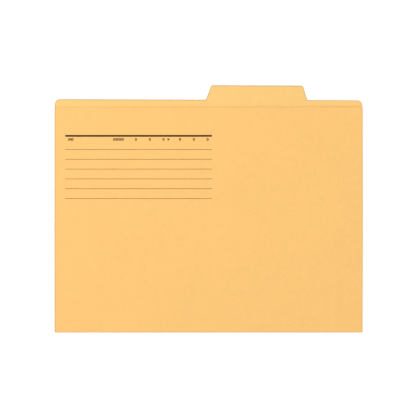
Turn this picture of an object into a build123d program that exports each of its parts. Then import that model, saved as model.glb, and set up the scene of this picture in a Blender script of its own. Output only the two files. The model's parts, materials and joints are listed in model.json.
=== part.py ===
# Manila folder for A4 papers: one die-cut sheet of board, folded once along the bottom and lying shut on
# its back leaf. Millimetres, +X along the fold, +Y from the fold towards the tab, +Z up off the table.
# The sheet is split where it turns, so that each leaf and the rolled bend between them is one solid.

from build123d import *
import os

# Board
board_thickness = 0.35
leaf_width = 310.0

# Leaves, measured up from the outside of the fold
back_leaf_height = 234.5
back_corner_radius = 6.0
front_leaf_setback = 7.5
front_corner_radius = 2.0

# Index tab, cut as part of the back leaf's top edge
tab_height = 14.5
tab_root_width = 102.0
tab_side_lean = 5.0
tab_right_margin = 55.7
tab_top_radius = 2.0
tab_root_radius = 1.5

# Main fold: the board turns back over itself and leaves a gap between the leaves
leaf_gap = 0.4
fold_clearance = 0.03

# Places worked out from the sizes above
left_edge = -leaf_width / 2
right_edge = leaf_width / 2
front_leaf_height = back_leaf_height - front_leaf_setback
overall_height = back_leaf_height + tab_height
front_leaf_level = board_thickness + leaf_gap
fold_radius = board_thickness + leaf_gap / 2


def sheet(corners, radii, level):
    """Board cut to an outline with rounded corners, its underside at a level above the table."""
    outline = make_face(FilletPolyline(*corners, radius=radii, close=True))
    return Pos(0, 0, level) * extrude(outline, board_thickness, dir=(0, 0, 1))


def rod_about_fold(radius):
    """A rod as long as the folder is wide, about the line that the front leaf turns on."""
    return Pos(0, fold_radius, fold_radius) * Rot(0, 90, 0) * Cylinder(radius, leaf_width)


def pocket_bottom():
    """The round-ended gap between the leaves, where it runs into the bend."""
    reach = 2 * fold_radius
    section = Pos(fold_radius + reach / 2, fold_radius) * SlotCenterToCenter(reach, leaf_gap)
    return extrude(Plane.YZ * section, leaf_width / 2, both=True)


def main_fold():
    """The board's half turn at the bottom, open towards the leaves."""
    return rod_about_fold(fold_radius) - pocket_bottom()


def fold_seat():
    """The hollow that each leaf's lower edge has round the bend."""
    return rod_about_fold(fold_radius + fold_clearance)


def back_leaf():
    """The taller panel with its index tab right of the middle."""
    tab_right = right_edge - tab_right_margin
    tab_left = tab_right - tab_root_width
    corners = [
        (left_edge, fold_radius),
        (right_edge, fold_radius),
        (right_edge, back_leaf_height),
        (tab_right, back_leaf_height),
        (tab_right - tab_side_lean, overall_height),
        (tab_left + tab_side_lean, overall_height),
        (tab_left, back_leaf_height),
        (left_edge, back_leaf_height),
    ]
    radii = [
        0,
        0,
        back_corner_radius,
        tab_root_radius,
        tab_top_radius,
        tab_top_radius,
        tab_root_radius,
        back_corner_radius,
    ]
    return sheet(corners, radii, 0) - fold_seat()


def front_leaf():
    """The shorter panel, lying over the back leaf, with both top corners eased."""
    corners = [
        (left_edge, fold_radius),
        (right_edge, fold_radius),
        (right_edge, front_leaf_height),
        (left_edge, front_leaf_height),
    ]
    radii = [0, 0, front_corner_radius, front_corner_radius]
    return sheet(corners, radii, front_leaf_level) - fold_seat()


pieces = {
    "back_leaf": back_leaf(),
    "main_fold": main_fold(),
    "front_leaf": front_leaf(),
}

# The origin is under the middle of the shut folder, on the table
os.makedirs("parts", exist_ok=True)
for name, piece in pieces.items():
    export_step(Pos(0, -overall_height / 2, 0) * piece, f"parts/{name}.step")
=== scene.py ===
import bmesh
import bpy
import json
import math
from mathutils import Matrix
from mathutils import Vector
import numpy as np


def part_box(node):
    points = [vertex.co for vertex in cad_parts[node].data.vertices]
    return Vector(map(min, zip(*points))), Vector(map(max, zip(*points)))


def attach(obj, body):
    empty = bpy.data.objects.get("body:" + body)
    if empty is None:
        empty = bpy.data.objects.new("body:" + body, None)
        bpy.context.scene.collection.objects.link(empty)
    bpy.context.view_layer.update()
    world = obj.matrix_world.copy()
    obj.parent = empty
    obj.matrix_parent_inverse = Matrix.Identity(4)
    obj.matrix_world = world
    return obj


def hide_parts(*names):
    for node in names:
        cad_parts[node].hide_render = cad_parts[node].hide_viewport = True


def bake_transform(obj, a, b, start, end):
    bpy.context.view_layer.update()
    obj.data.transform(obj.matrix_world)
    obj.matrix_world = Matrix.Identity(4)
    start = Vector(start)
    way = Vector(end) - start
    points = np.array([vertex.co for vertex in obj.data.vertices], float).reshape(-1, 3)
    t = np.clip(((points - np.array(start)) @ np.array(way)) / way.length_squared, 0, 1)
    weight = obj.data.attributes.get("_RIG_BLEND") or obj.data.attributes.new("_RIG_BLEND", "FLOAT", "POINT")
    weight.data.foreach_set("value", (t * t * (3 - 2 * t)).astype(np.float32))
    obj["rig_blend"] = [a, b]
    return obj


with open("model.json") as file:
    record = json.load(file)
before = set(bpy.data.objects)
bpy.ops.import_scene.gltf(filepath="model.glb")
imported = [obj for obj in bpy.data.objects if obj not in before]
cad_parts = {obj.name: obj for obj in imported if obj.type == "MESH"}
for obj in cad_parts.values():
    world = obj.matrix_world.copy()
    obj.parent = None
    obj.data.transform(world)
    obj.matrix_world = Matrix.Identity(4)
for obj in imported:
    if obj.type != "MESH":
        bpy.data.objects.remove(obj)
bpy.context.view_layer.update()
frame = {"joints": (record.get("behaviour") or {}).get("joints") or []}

# Back leaf: the taller panel of the folder, which lies on the table, with the index tab in its top edge.
# It is manila board, dyed through and pressed smooth, and a steel-rule die cuts leaf and tab in one stroke.
# Nothing fixes it: the same board runs on through the fold at the bottom into the front leaf.

mm = 0.001
back_low, back_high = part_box("back_leaf")
left_edge = back_low.x
right_edge = back_high.x
board_thickness = back_high.z - back_low.z
fold_axis = Vector(frame["joints"][0]["pos_m"])
fold_line = fold_axis.y
shoulder = 110.0 * mm
tab_top = back_high.y
tab_root_left = -2.55 * mm
tab_root_right = 99.45 * mm
tab_side_lean = 5.0 * mm
back_corner_radius = 5.2 * mm
tab_top_radius = 2.0 * mm
tab_root_radius = 1.5 * mm
corner_steps = 8


def cut_outline(corners, radii):
    """A flat face cut to an outline, with its corners rounded as the die rounds them."""
    bm = bmesh.new()
    points = [bm.verts.new((x, y, 0.0)) for x, y in corners]
    bm.faces.new(points)
    for point, radius in zip(points, radii):
        if radius:
            sides = [edge.other_vert(point).co - point.co for edge in point.link_edges]
            bmesh.ops.bevel(
                bm,
                geom=[point],
                offset=radius / math.tan(sides[0].angle(sides[1]) / 2),
                offset_type="OFFSET",
                segments=corner_steps,
                profile=0.5,
                affect="VERTICES",
                material=-1,
            )
    return bm


x_axis = Vector((1.0, 0.0, 0.0))
y_axis = Vector((0.0, 1.0, 0.0))
weld_distance = 0.0001 * mm


def slice_board(bm, axis, place, drop_behind=False):
    """A straight cut across a board at a place along an axis, which may drop what lies behind it."""
    bmesh.ops.bisect_plane(
        bm,
        geom=bm.verts[:] + bm.edges[:] + bm.faces[:],
        dist=weld_distance,
        plane_co=axis * place,
        plane_no=axis,
        clear_inner=drop_behind,
    )


loop_spacing = 10.0 * mm


def rule_loops(bm, axis, low, high):
    """Evenly spaced cuts across a flat board, so that it can follow a curve."""
    count = round((high - low) / loop_spacing)
    for i in range(1, count):
        slice_board(bm, axis, low + (high - low) * i / count)


def ease(t):
    """From 0 to 1 with a soft start and end."""
    t = min(max(t, 0.0), 1.0)
    return t * t * (3.0 - 2.0 * t)


paler_from = 92.0 * mm
paler_run = 20.0 * mm
paler_share = 0.65


def edge_shade_share(x):
    """How much painted shade a cut edge gets: full at the left, paler at the right-hand end."""
    return 1.0 - paler_share * ease((x - paler_from) / paler_run)


def thicken(bm, height):
    """Flat faces given a thickness upwards. Returns the points of the upper side."""
    raised = bmesh.ops.extrude_face_region(bm, geom=bm.faces[:])
    upper = [part for part in raised["geom"] if isinstance(part, bmesh.types.BMVert)]
    bmesh.ops.translate(bm, verts=upper, vec=(0.0, 0.0, height))
    return upper


hairline = 0.01 * mm
rim_turn = math.radians(60)
edge_softening = 0.05 * mm
softening_steps = 2


def soften_edges(bm):
    """Both rims of the cut edge softened, but not the end at the fold, where the board runs on."""
    rims = []
    for edge in bm.edges:
        a, b = edge.verts
        lies_flat = abs(a.co.z - b.co.z) < hairline
        at_fold = max(a.co.y, b.co.y) < fold_line + hairline
        if lies_flat and not at_fold and edge.calc_face_angle() > rim_turn:
            rims.append(edge)
    bmesh.ops.bevel(
        bm,
        geom=rims,
        offset=edge_softening,
        offset_type="OFFSET",
        segments=softening_steps,
        profile=0.5,
        affect="EDGES",
        material=-1,
        clamp_overlap=True,
    )


crease_reach = 1.2 * mm
crease_depth = 0.1 * mm
# How much painted shade the crease gets on the inside, and the ridge on the outside
crease_shade = 0.3
ridge_shade = 0.15


def press_crease(bm, outer_level):
    """The end at the fold thinned from its inside, as the creasing rule leaves it, and given painted shade
    there: more inside, in the crease, less on the ridge outside.
    """
    painted_shade = bm.verts.layers.float["painted_shade"]
    outer_face = bm.verts.layers.float["outer_face"]
    for vert in bm.verts:
        if vert.co.y < fold_line + hairline:
            vert.co.z -= (vert.co.z - outer_level) * crease_depth / board_thickness
            tone = ridge_shade if vert[outer_face] > 0.5 else crease_shade
            vert[painted_shade] = max(vert[painted_shade], tone)


# How far the painted shade reaches in from a cut edge
edge_shade_reach = 1.1 * mm
spare_board = 3.0 * mm


def board_blank(corners, radii, level, outer_is_up):
    """A leaf with loops to bend it on and its half of the crease. The outline has spare board at the fold."""
    bm = cut_outline(corners, radii)
    painted_shade = bm.verts.layers.float.new("painted_shade")
    outer_face = bm.verts.layers.float.new("outer_face")
    outline = set(bm.verts)
    bmesh.ops.inset_region(
        bm,
        faces=bm.faces[:],
        thickness=edge_shade_reach,
        use_boundary=True,
        use_even_offset=True,
    )
    # The outline's points carry painted shade, which fades to none across the inset band
    for vert in bm.verts:
        vert[painted_shade] = edge_shade_share(vert.co.x) if vert in outline else 0.0
        vert[outer_face] = 0.0 if outer_is_up else 1.0
    slice_board(bm, y_axis, fold_line, drop_behind=True)
    slice_board(bm, y_axis, fold_line + crease_reach)
    rule_loops(bm, y_axis, fold_line, max(y for x, y in corners))
    rule_loops(bm, x_axis, left_edge, right_edge)
    for vert in thicken(bm, board_thickness):
        vert[outer_face] = 1.0 if outer_is_up else 0.0
    bmesh.ops.translate(bm, verts=bm.verts[:], vec=(0.0, 0.0, level))
    bmesh.ops.recalc_face_normals(bm, faces=bm.faces[:])
    soften_edges(bm)
    press_crease(bm, level + board_thickness if outer_is_up else level)
    return bm


sharp_turn = math.radians(40)


def finish_piece(bm, name, material):
    """A mesh object at the origin, shaded smooth but for its sharp turns."""
    for face in bm.faces:
        face.smooth = True
    for edge in bm.edges:
        edge.smooth = len(edge.link_faces) == 2 and edge.calc_face_angle() < sharp_turn
    mesh = bpy.data.meshes.new(name)
    bm.to_mesh(mesh)
    bm.free()
    mesh.materials.append(material)
    piece = bpy.data.objects.new(name, mesh)
    bpy.context.scene.collection.objects.link(piece)
    return piece


def wire(tree, from_node, output, to_node, entry):
    """One link between two nodes, by the names of their sockets."""
    tree.links.new(from_node.outputs[output], to_node.inputs[entry])


def node(tree, kind, **settings):
    """A node with its settings."""
    made = tree.nodes.new(kind)
    for key, value in settings.items():
        setattr(made, key, value)
    return made


def scaled_noise(tree, place, scale, detail, roughness, x_scale=1.0, y_scale=1.0, turn=0.0, waver=0.0):
    """Noise in features per metre, drawn out along X or Y by a scale below 1."""
    mapping = node(tree, "ShaderNodeMapping")
    mapping.inputs["Scale"].default_value = (x_scale, y_scale, 1.0)
    mapping.inputs["Rotation"].default_value = (0.0, 0.0, turn)
    tree.links.new(place, mapping.inputs["Vector"])
    noise = node(tree, "ShaderNodeTexNoise")
    noise.inputs["Scale"].default_value = scale
    noise.inputs["Detail"].default_value = detail
    noise.inputs["Roughness"].default_value = roughness
    noise.inputs["Distortion"].default_value = waver
    wire(tree, mapping, "Vector", noise, "Vector")
    return noise.outputs["Fac"]


def remap(tree, value, taken, given):
    """A value moved from one range to another, and held inside it."""
    made = node(tree, "ShaderNodeMapRange")
    made.inputs["From Min"].default_value, made.inputs["From Max"].default_value = taken
    made.inputs["To Min"].default_value, made.inputs["To Max"].default_value = given
    tree.links.new(value, made.inputs["Value"])
    return made.outputs["Result"]


def combine(tree, operation, a, b):
    """Two values made one by a sum, a product or the like."""
    made = node(tree, "ShaderNodeMath", operation=operation)
    tree.links.new(a, made.inputs[0])
    tree.links.new(b, made.inputs[1])
    return made.outputs[0]


def tint(tree, factor, from_color, to_color):
    """A colour changed towards another by a factor. Either colour may be a socket."""
    made = node(tree, "ShaderNodeMix", data_type="RGBA")
    from_entry, to_entry = [entry for entry in made.inputs if entry.type == "RGBA"]
    tree.links.new(factor, made.inputs["Factor"])
    for color, entry in ((from_color, from_entry), (to_color, to_entry)):
        if isinstance(color, bpy.types.NodeSocket):
            tree.links.new(color, entry)
        else:
            entry.default_value = (*color, 1.0)
    return next(output for output in made.outputs if output.type == "RGBA")


fibre_band = (0.34, 0.66)
main_fibres = 0.36
cross_fibres = 0.32


def board_surface_group():
    """Manila board: matted fibres, cloudy formation, sparse flecks, painted shade at cut edges and in the
    crease.
    """
    group = bpy.data.node_groups.new("board_surface", "ShaderNodeTree")
    sockets = group.interface
    for name in ("Inner Color", "Outer Color", "Edge Shade Color", "Fleck Color"):
        sockets.new_socket(name, in_out="INPUT", socket_type="NodeSocketColor")
    for name in ("Outer Face", "Painted Shade"):
        sockets.new_socket(name, in_out="INPUT", socket_type="NodeSocketFloat")
    sockets.new_socket("Color", in_out="OUTPUT", socket_type="NodeSocketColor")
    sockets.new_socket("Roughness", in_out="OUTPUT", socket_type="NodeSocketFloat")
    sockets.new_socket("Height", in_out="OUTPUT", socket_type="NodeSocketFloat")
    given = node(group, "NodeGroupInput").outputs
    result = node(group, "NodeGroupOutput").inputs
    place = node(group, "ShaderNodeTexCoord").outputs["Object"]

    # The fibres lie in three layers: most along the sheet, the others across them both ways
    along = scaled_noise(
        group, place, scale=5200.0, detail=4.0, roughness=0.65, x_scale=0.09, turn=0.12, waver=0.4
    )
    rising = scaled_noise(
        group, place, scale=4300.0, detail=3.0, roughness=0.6, x_scale=0.12, turn=0.95, waver=0.5
    )
    falling = scaled_noise(
        group, place, scale=4600.0, detail=3.0, roughness=0.6, x_scale=0.12, turn=-0.75, waver=0.5
    )
    felt = remap(group, along, fibre_band, (0.0, main_fibres))
    for layer in (rising, falling):
        felt = combine(group, "ADD", felt, remap(group, layer, fibre_band, (0.0, cross_fibres)))
    clouds = scaled_noise(group, place, scale=140.0, detail=3.0, roughness=0.55, y_scale=0.8)
    drift = scaled_noise(group, place, scale=14.0, detail=2.0, roughness=0.5)
    specks = scaled_noise(group, place, scale=1500.0, detail=2.0, roughness=0.5, x_scale=0.45, turn=-0.4)

    # Each pattern makes the board darker and lighter by its own small share
    color = tint(group, given["Outer Face"], given["Inner Color"], given["Outer Color"])
    for pattern, band, share in (
        (felt, (0.15, 0.85), 0.07),
        (clouds, (0.3, 0.7), 0.012),
        (drift, (0.35, 0.65), 0.007),
    ):
        shade = node(group, "ShaderNodeHueSaturation")
        group.links.new(color, shade.inputs["Color"])
        group.links.new(remap(group, pattern, band, (1.0 - share, 1.0 + share)), shade.inputs["Value"])
        color = shade.outputs["Color"]
    color = tint(group, remap(group, specks, (0.71, 0.78), (0.0, 0.4)), color, given["Fleck Color"])
    # Painted shade along the cut edges and in the crease, made uneven by the clouds
    uneven_shade = remap(group, clouds, (0.25, 0.75), (0.6, 1.0))
    color = tint(group, combine(group, "MULTIPLY", given["Painted Shade"], uneven_shade), color, given["Edge Shade Color"])
    group.links.new(color, result["Color"])
    group.links.new(remap(group, felt, (0.1, 0.9), (0.82, 0.66)), result["Roughness"])
    group.links.new(felt, result["Height"])
    return group


board_surface = board_surface_group()
board_inner = (0.930, 0.575, 0.191)
board_outer = (0.932, 0.5435, 0.1745)
# The colour of the painted shade along the edges and in the crease
edge_shade_color = (0.37, 0.23, 0.088)
board_fleck = (0.66, 0.34, 0.10)
board_gloss = 0.25
fibre_bump = 0.4
fibre_height = 0.03 * mm


def board_material(name):
    """Manila board, with the attributes of the piece that it covers, and the nodes that it is made of."""
    material = bpy.data.materials.new(name)
    material.use_nodes = True
    tree = material.node_tree
    shader = tree.nodes["Principled BSDF"]
    shader.inputs["Specular IOR Level"].default_value = board_gloss
    surface = node(tree, "ShaderNodeGroup", node_tree=board_surface)
    surface.inputs["Inner Color"].default_value = (*board_inner, 1.0)
    surface.inputs["Outer Color"].default_value = (*board_outer, 1.0)
    surface.inputs["Edge Shade Color"].default_value = (*edge_shade_color, 1.0)
    surface.inputs["Fleck Color"].default_value = (*board_fleck, 1.0)
    for attribute, entry in (("outer_face", "Outer Face"), ("painted_shade", "Painted Shade")):
        wire(tree, node(tree, "ShaderNodeAttribute", attribute_name=attribute), "Fac", surface, entry)
    bump = node(tree, "ShaderNodeBump")
    bump.inputs["Strength"].default_value = fibre_bump
    bump.inputs["Distance"].default_value = fibre_height
    wire(tree, surface, "Height", bump, "Height")
    wire(tree, surface, "Color", shader, "Base Color")
    wire(tree, surface, "Roughness", shader, "Roughness")
    wire(tree, bump, "Normal", shader, "Normal")
    return material, tree, shader, surface


leaf_board, *_ = board_material("manila_leaf_board")

back_outline = [
    (left_edge, fold_line - spare_board),
    (right_edge, fold_line - spare_board),
    (right_edge, shoulder),
    (tab_root_right, shoulder),
    (tab_root_right - tab_side_lean, tab_top),
    (tab_root_left + tab_side_lean, tab_top),
    (tab_root_left, shoulder),
    (left_edge, shoulder),
]
back_radii = [
    0,
    0,
    back_corner_radius,
    tab_root_radius,
    tab_top_radius,
    tab_top_radius,
    tab_root_radius,
    back_corner_radius,
]
back_bm = board_blank(back_outline, back_radii, back_low.z, outer_is_up=False)

# The strip and the tab that stand out past the front leaf curl up a little, most at the right, and the tab
# leans to the right. The fold is a little askew to the cut, so that the top edge runs down to the right.
front_low, front_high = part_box("front_leaf")
tab_curl = 0.55 * mm
curl_reached = 0.8
curl_lean = 0.3
tab_drift = 0.3 * mm
fold_skew = 0.0037
for vert in back_bm.verts:
    past_front = (vert.co.y - front_high.y) / (tab_top - front_high.y)
    vert.co.z += tab_curl * ease(past_front * curl_reached) * (1.0 + curl_lean * vert.co.x / right_edge)
    vert.co.x += tab_drift * ease((vert.co.y - shoulder) / (tab_top - shoulder))
    vert.co.y -= vert.co.x * fold_skew * ease((vert.co.y - fold_line) / (shoulder - fold_line))

back_leaf_board = finish_piece(back_bm, "back_leaf_board", leaf_board)
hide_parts("back_leaf")
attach(back_leaf_board, "back_leaf")

# Main fold: the bend along the bottom, where the board turns back over itself between the two leaves.
# It is the same manila board, creased with a blunt rule and rolled over, so that its outside is stretched.
# Both leaves run out of it without a joint, and it flattens when the front leaf is laid open.

fold_low, fold_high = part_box("main_fold")
fold_tuck = 0.008 * mm
fold_left = left_edge + fold_tuck
fold_right = right_edge - fold_tuck
fold_cuts = 30
bend_steps = 32

fold_bm = bmesh.new()
fold_ends = [fold_bm.verts.new((x, fold_line, fold_low.z)) for x in (fold_left, fold_right)]
fold_run = fold_bm.edges.new(fold_ends)
bmesh.ops.subdivide_edges(fold_bm, edges=[fold_run], cuts=fold_cuts)
bmesh.ops.spin(
    fold_bm,
    geom=fold_bm.verts[:] + fold_bm.edges[:],
    cent=fold_axis,
    axis=x_axis,
    angle=-math.pi,
    steps=bend_steps,
)
for side in (left_edge + edge_shade_reach, right_edge - edge_shade_reach):
    slice_board(fold_bm, x_axis, side)
fold_shade = fold_bm.verts.layers.float.new("painted_shade")
fold_outer = fold_bm.verts.layers.float.new("outer_face")
crease = fold_bm.verts.layers.float.new("crease")
# The fold's ends take the cut edges' painted shade, and its outside a little painted shade along the ridge
for vert in fold_bm.verts:
    at_end = abs(vert.co.x) > fold_right - hairline
    vert[fold_shade] = edge_shade_share(vert.co.x) if at_end else ridge_shade
    vert[fold_outer] = 1.0
    vert[crease] = ease((fold_line - vert.co.y) / (fold_line - fold_low.y))
bmesh.ops.recalc_face_normals(fold_bm, faces=fold_bm.faces[:])
outside = set(fold_bm.verts)
bmesh.ops.solidify(fold_bm, geom=fold_bm.faces[:], thickness=board_thickness - crease_depth)
# The inside of the bend takes the crease's painted shade
for vert in fold_bm.verts:
    if vert not in outside:
        vert[fold_shade] = max(vert[fold_shade], crease_shade)
        vert[fold_outer] = 0.0
        vert[crease] = 0.0
bmesh.ops.recalc_face_normals(fold_bm, faces=fold_bm.faces[:])

# The ridge of the bend is scuffed: its fibres are stretched, broken here and there, and paler
scuffed_ridge = (0.83, 0.545, 0.235)
fold_board_material, fold_tree, fold_shader, fold_surface = board_material("manila_fold_board")
ridge = node(fold_tree, "ShaderNodeAttribute", attribute_name="crease").outputs["Fac"]
fold_place = node(fold_tree, "ShaderNodeTexCoord").outputs["Object"]
scuffs = scaled_noise(fold_tree, fold_place, scale=900.0, detail=4.0, roughness=0.65, x_scale=0.35)
scuff_mask = combine(fold_tree, "MULTIPLY", ridge, remap(fold_tree, scuffs, (0.35, 0.6), (0.25, 1.0)))
fold_color = tint(fold_tree, scuff_mask, fold_surface.outputs["Color"], scuffed_ridge)
fold_tree.links.new(fold_color, fold_shader.inputs["Base Color"])
fold_board = finish_piece(fold_bm, "fold_board", fold_board_material)
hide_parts("main_fold")
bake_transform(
    fold_board,
    "back_leaf",
    "front_leaf",
    start=(0.0, fold_line, fold_low.z),
    end=(0.0, fold_line, fold_high.z),
)

# Front leaf: the shorter panel that lies over the papers and carries the printed form.
# It is the other half of the same die-cut sheet of manila board, with both top corners eased.
# The crease lifts it a little past the fold, and its own weight brings it down towards the free edge.

front_outline = [
    (left_edge, fold_line - spare_board),
    (right_edge, fold_line - spare_board),
    (right_edge, front_high.y),
    (left_edge, front_high.y),
]
front_corner_radius = 2.0 * mm
front_radii = [0, 0, front_corner_radius, front_corner_radius]
front_reach = front_high.y - fold_line

# The bow leaves the fold by one power and comes down by another, and its scale makes its top bow_height
bow_height = 1.0 * mm
bow_lean = 0.15 * mm
bow_up = 1.5
bow_down = 2
bow_scale = 10.9
edge_rise = 0.55 * mm
rise_lean = 0.3 * mm
corner_lift = 0.45 * mm
left_lift_share = 0.4
corner_from_side = 0.7
corner_from_fold = 0.8


def front_leaf_lie(x, y):
    """How far the front leaf stands off its flat place: bowed past the fold, down at the free edge."""
    along = min(max((y - fold_line) / front_reach, 0.0), 1.0)
    side = x / right_edge
    bow = (bow_height + bow_lean * side) * bow_scale * along**bow_up * (1.0 - along) ** bow_down
    rise = (edge_rise + rise_lean * side) * ease(along)
    near_side = ease((abs(side) - corner_from_side) / (1.0 - corner_from_side))
    near_top = ease((along - corner_from_fold) / (1.0 - corner_from_fold))
    lift = corner_lift * near_side * near_top * (1.0 if side > 0 else left_lift_share)
    return bow + rise + lift


# The free edge keeps only a little of the painted edge shade
free_edge_shade_share = 0.15
front_bm = board_blank(front_outline, front_radii, front_low.z, outer_is_up=True)
front_shade = front_bm.verts.layers.float["painted_shade"]
for vert in front_bm.verts:
    if vert.co.y > front_high.y - 2 * edge_softening:
        vert[front_shade] *= free_edge_shade_share
    vert.co.z += front_leaf_lie(vert.co.x, vert.co.y)
front_leaf_board = finish_piece(front_bm, "front_leaf_board", leaf_board)
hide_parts("front_leaf")
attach(front_leaf_board, "front_leaf")

# Printed form: one thick rule, six thin ones below it, and a row of small blank boxes with a pointer.
# It is dark brown offset ink, a film on the front leaf's outer face that is taken up a little unevenly.
# The ink is printed on the flat sheet before it is cut and folded, so it bends with the leaf.

ink_film = 0.03 * mm
ink_sunk = 0.012 * mm


def printed_rule(bm, left, right, y, width):
    """A straight printed rule, cut often enough to follow the leaf's curve."""
    spread = Matrix.Diagonal((right - left, width, 1.0, 1.0))
    place = Matrix.Translation(((left + right) / 2, y, 0.0)) @ spread
    stretches = max(1, round((right - left) / loop_spacing))
    bmesh.ops.create_grid(bm, x_segments=stretches, y_segments=1, size=0.5, matrix=place)


def printed_box(bm, x, y, width, height, stroke):
    """The outline of a small blank box."""
    place = Matrix.Translation((x, y, 0.0)) @ Matrix.Diagonal((width, height, 1.0, 1.0))
    made = bmesh.ops.create_grid(bm, x_segments=1, y_segments=1, size=0.5, matrix=place)
    inside = list({face for vert in made["verts"] for face in vert.link_faces})
    bmesh.ops.inset_region(bm, faces=inside, thickness=stroke, use_boundary=True, use_even_offset=True)
    bmesh.ops.delete(bm, geom=inside, context="FACES")


def printed_pointer(bm, x, y, reach):
    """A small solid triangle that points to the right."""
    place = Matrix.Translation((x, y, 0.0)) @ Matrix.Rotation(-math.pi / 2, 4, "Z")
    bmesh.ops.create_circle(bm, cap_ends=True, segments=3, radius=reach, matrix=place)


def lay_ink(bm, name, material):
    """Flat printed shapes made a thin film on the front leaf, which they ride with."""
    thicken(bm, ink_film)
    bmesh.ops.recalc_face_normals(bm, faces=bm.faces[:])
    for vert in bm.verts:
        vert.co.z += front_high.z - ink_sunk + front_leaf_lie(vert.co.x, vert.co.y)
    piece = finish_piece(bm, name, material)
    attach(piece, "front_leaf")


full_ink = (0.036, 0.011, 0.002)
thin_ink = (0.055, 0.017, 0.003)
ink_gloss = 0.08
form_ink = bpy.data.materials.new("form_ink")
form_ink.use_nodes = True
ink_tree = form_ink.node_tree
ink_shader = ink_tree.nodes["Principled BSDF"]
ink_shader.inputs["Specular IOR Level"].default_value = ink_gloss
ink_place = node(ink_tree, "ShaderNodeTexCoord").outputs["Object"]
ink_grain = scaled_noise(ink_tree, ink_place, scale=2600.0, detail=3.0, roughness=0.6, x_scale=0.4)
ink_take = scaled_noise(ink_tree, ink_place, scale=220.0, detail=2.0, roughness=0.5)
ink_color = tint(ink_tree, remap(ink_tree, ink_take, (0.3, 0.7), (0.0, 1.0)), full_ink, thin_ink)
bare_spots = remap(ink_tree, ink_grain, (0.6, 0.75), (0.0, 0.07))
ink_color = tint(ink_tree, bare_spots, ink_color, board_outer)
ink_tree.links.new(ink_color, ink_shader.inputs["Base Color"])
ink_roughness = remap(ink_tree, ink_grain, (0.3, 0.7), (0.5, 0.68))
ink_tree.links.new(ink_roughness, ink_shader.inputs["Roughness"])

form_left = -144.35 * mm
form_right = 3.3 * mm
header_place = 73.51 * mm
header_width = 1.79 * mm
header_bm = bmesh.new()
printed_rule(header_bm, form_left, form_right, header_place, header_width)
lay_ink(header_bm, "form_header_rule", form_ink)

line_count = 6
first_line = 59.76 * mm
line_pitch = 9.85 * mm
line_width = 0.38 * mm
lines_bm = bmesh.new()
for i in range(line_count):
    printed_rule(lines_bm, form_left, form_right, first_line - i * line_pitch, line_width)
lay_ink(lines_bm, "form_writing_lines", form_ink)

# Two groups of boxes side by side, each with its first place and its count, and six boxes on their own
box_row = 69.95 * mm
box_height = 2.3 * mm
box_groups = ((-140.1 * mm, 2), (-94.9 * mm, 4))
box_pitch = 2.75 * mm
grouped_box = 2.35 * mm
grouped_stroke = 0.75 * mm
single_places = (-73.1 * mm, -59.2 * mm, -45.4 * mm, -28.8 * mm, -14.9 * mm, -1.0 * mm)
single_box = 1.9 * mm
single_stroke = 0.62 * mm
pointer_place = -40.55 * mm
pointer_reach = 1.6 * mm
boxes_bm = bmesh.new()
for first, count in box_groups:
    for i in range(count):
        printed_box(boxes_bm, first + i * box_pitch, box_row, grouped_box, box_height, grouped_stroke)
for x in single_places:
    printed_box(boxes_bm, x, box_row, single_box, box_height, single_stroke)
printed_pointer(boxes_bm, pointer_place, box_row, pointer_reach)
lay_ink(boxes_bm, "form_tick_boxes", form_ink)

# Table and light: a plain pale table top under the folder, white card all round, and soft light from above.
# The table top is matt. It keeps the folder's shadow, and gives off some light that doesn't reach the folder.
# The ceiling light is broad and hangs a little to the lower right, and a disk lamp brightens the upper left.

table_reach = 4.0
table_drop = 0.02 * mm
table_mesh = bpy.data.meshes.new("table_top")
table_bm = bmesh.new()
bmesh.ops.create_grid(table_bm, x_segments=1, y_segments=1, size=table_reach)
bmesh.ops.translate(table_bm, verts=table_bm.verts[:], vec=(0.0, 0.0, -table_drop))
table_bm.to_mesh(table_mesh)
table_bm.free()
table_top = bpy.data.objects.new("table_top", table_mesh)
bpy.context.scene.collection.objects.link(table_top)


def seen_rays(tree):
    """1 for the rays that show the background: camera, glossy and transmission rays."""
    rays = node(tree, "ShaderNodeLightPath").outputs
    total = rays["Is Camera Ray"]
    for name in ("Is Glossy Ray", "Is Transmission Ray"):
        total = combine(tree, "MAXIMUM", total, rays[name])
    return total


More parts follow.
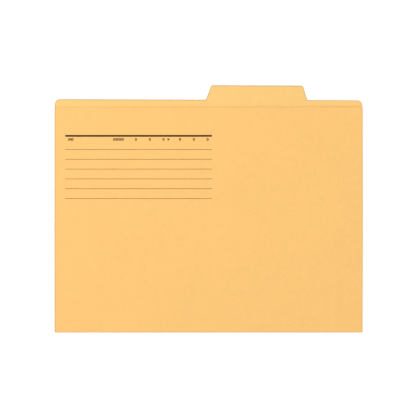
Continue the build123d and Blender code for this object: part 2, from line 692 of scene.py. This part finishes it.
white = (1.0, 1.0, 1.0, 1.0)
table_tone = (0.50, 0.50, 0.50, 1.0)
table_glow = 0.575
table_paint = bpy.data.materials.new("pale_table")
table_paint.use_nodes = True
table_tree = table_paint.node_tree
table_shader = table_tree.nodes["Principled BSDF"]
table_shader.inputs["Base Color"].default_value = table_tone
table_shader.inputs["Roughness"].default_value = 1.0
table_shader.inputs["Specular IOR Level"].default_value = 0.0
table_shader.inputs["Emission Color"].default_value = white
glow_seen = remap(table_tree, seen_rays(table_tree), (0.0, 1.0), (0.0, table_glow))
table_tree.links.new(glow_seen, table_shader.inputs["Emission Strength"])
table_mesh.materials.append(table_paint)

card_light = 0.46
card_seen = 1.0
world = bpy.data.worlds.new("white_card")
world.use_nodes = True
bpy.context.scene.world = world
card_tree = world.node_tree
card = card_tree.nodes["Background"]
card.inputs["Color"].default_value = white
card_level = remap(card_tree, seen_rays(card_tree), (0.0, 1.0), (card_light, card_seen))
card_tree.links.new(card_level, card.inputs["Strength"])


def hang_light(name, data, place):
    """A light that points at the middle of the folder."""
    light = bpy.data.objects.new(name, data)
    light.location = place
    light.rotation_euler = (-light.location).to_track_quat("-Z", "Y").to_euler()
    bpy.context.scene.collection.objects.link(light)


ceiling_place = (0.2, -0.2, 1.6)
ceiling = bpy.data.lights.new("soft_ceiling", "SUN")
ceiling.angle = math.radians(55)
ceiling.energy = 1.30
hang_light("soft_ceiling", ceiling, ceiling_place)

lamp_place = (-0.8, 0.6, 0.9)
lamp = bpy.data.lights.new("soft_lamp", "AREA")
lamp.shape = "DISK"
lamp.size = 0.9
lamp.energy = 5.5
hang_light("soft_lamp", lamp, lamp_place)

# Camera: square above the shut folder, as the photograph is taken, with a long lens.
# The frame's width at the board is from the photograph's scale, and the folder sits a little off its middle.
# The picture's upright is the folder's own +Y, from the fold towards the tab.

frame_width = 419.1 * mm
frame_level = 0.7 * mm
camera_x = -0.63 * mm
camera_y = 0.90 * mm
camera_data = bpy.data.cameras.new("copy_camera")
camera_data.lens = 110.0
camera_data.sensor_width = 36.0
camera_height = frame_width * camera_data.lens / camera_data.sensor_width
copy_camera = bpy.data.objects.new("copy_camera", camera_data)
copy_camera.location = (camera_x, camera_y, camera_height + frame_level)
bpy.context.scene.collection.objects.link(copy_camera)
bpy.context.scene.camera = copy_camera
bpy.context.scene.view_settings.view_transform = "Standard"
